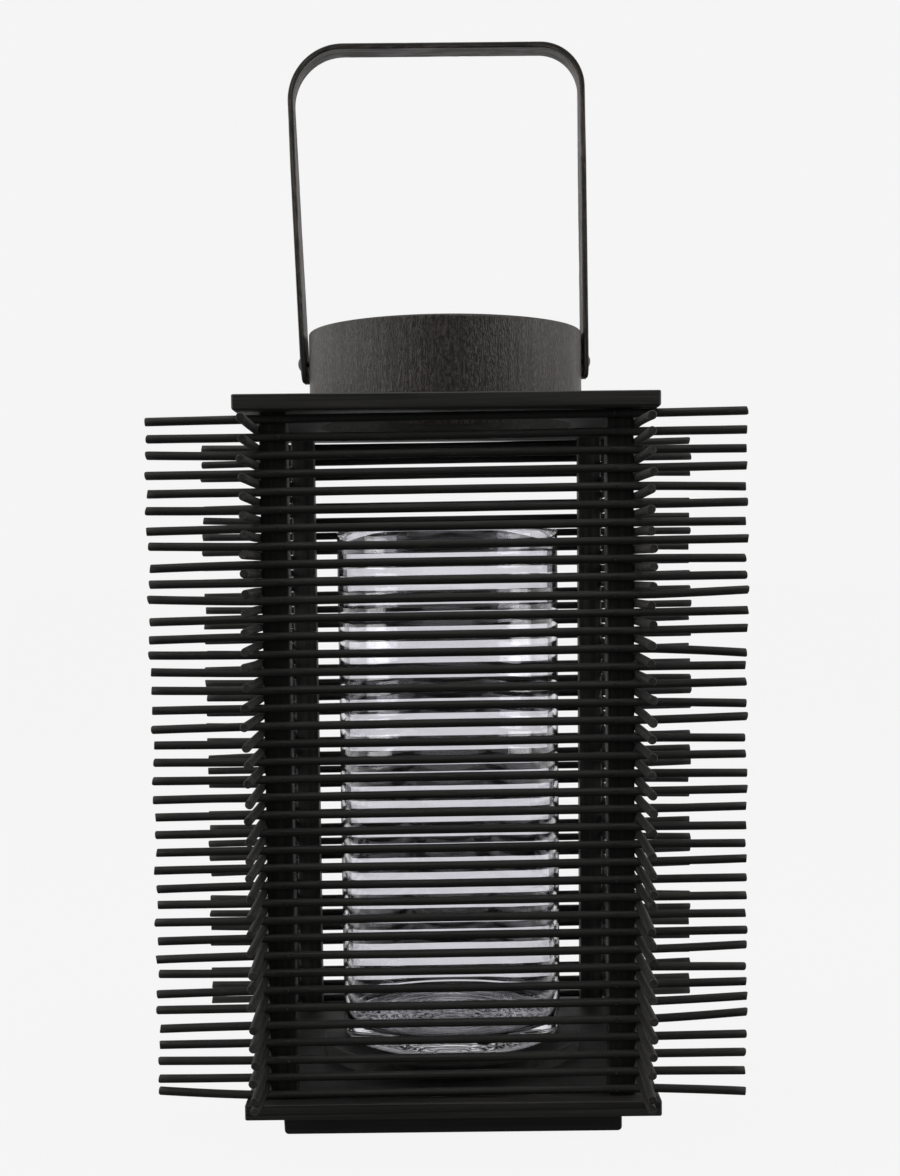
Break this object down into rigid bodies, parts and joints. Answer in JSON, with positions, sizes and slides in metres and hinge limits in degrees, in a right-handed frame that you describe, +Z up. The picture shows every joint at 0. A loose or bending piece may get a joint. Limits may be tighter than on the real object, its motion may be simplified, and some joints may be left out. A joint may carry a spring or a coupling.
{
  "type": "candle lantern",
  "caption": "Square black candle lantern with overhanging rows of round bamboo sticks, a loose glass cylinder, a round collar and a swinging bent-strip handle.",
  "frame": {"origin": "middle of the plinth's underside, on the surface that the lantern stands on", "axes": "+Z up towards the handle, -Y out of the front, +X to the right seen from the front; the handle swings about an axis along X"},
  "size_m": [0.3, 0.3, 0.572],
  "materials": {
    "black_wood": "matt black stain with the grain showing",
    "black_bamboo": "matt black stain over split bamboo",
    "clear_glass": "clear, polished",
    "dark_steel": "stained over with the wood, worn on the heads"
  },
  "bodies": {
    "lantern_body": {"plinth": "black_wood", "base_board": "black_wood", "glass_disc": "black_wood", "top_board": "black_wood", "collar_ring": "black_wood", "front_left_post": "black_wood", "front_right_post": "black_wood", "back_left_post": "black_wood", "back_right_post": "black_wood", "front_sticks": "black_bamboo", "back_sticks": "black_bamboo", "left_sticks": "black_bamboo", "right_sticks": "black_bamboo", "front_brads": "dark_steel", "back_brads": "dark_steel", "left_brads": "dark_steel", "right_brads": "dark_steel", "top_nails": "dark_steel", "base_nails": "dark_steel", "left_rivet": "dark_steel", "right_rivet": "dark_steel", "left_rivet_burr": "dark_steel", "right_rivet_burr": "dark_steel"},
    "handle": {"handle_strip": "black_bamboo"},
    "glass": {"glass_cylinder": "clear_glass"}
  },
  "joints": [
    {"name": "handle_swing", "type": "hinge", "parent": "lantern_body", "child": "handle", "pos_m": [0, 0, 0.4025], "axis": [1, 0, 0], "range_deg": [-99, 99]},
    {"name": "glass_lift", "type": "slide", "parent": "lantern_body", "child": "glass", "axis": [0, 0, 1], "range_m": [0, 0.25]}
  ]
}
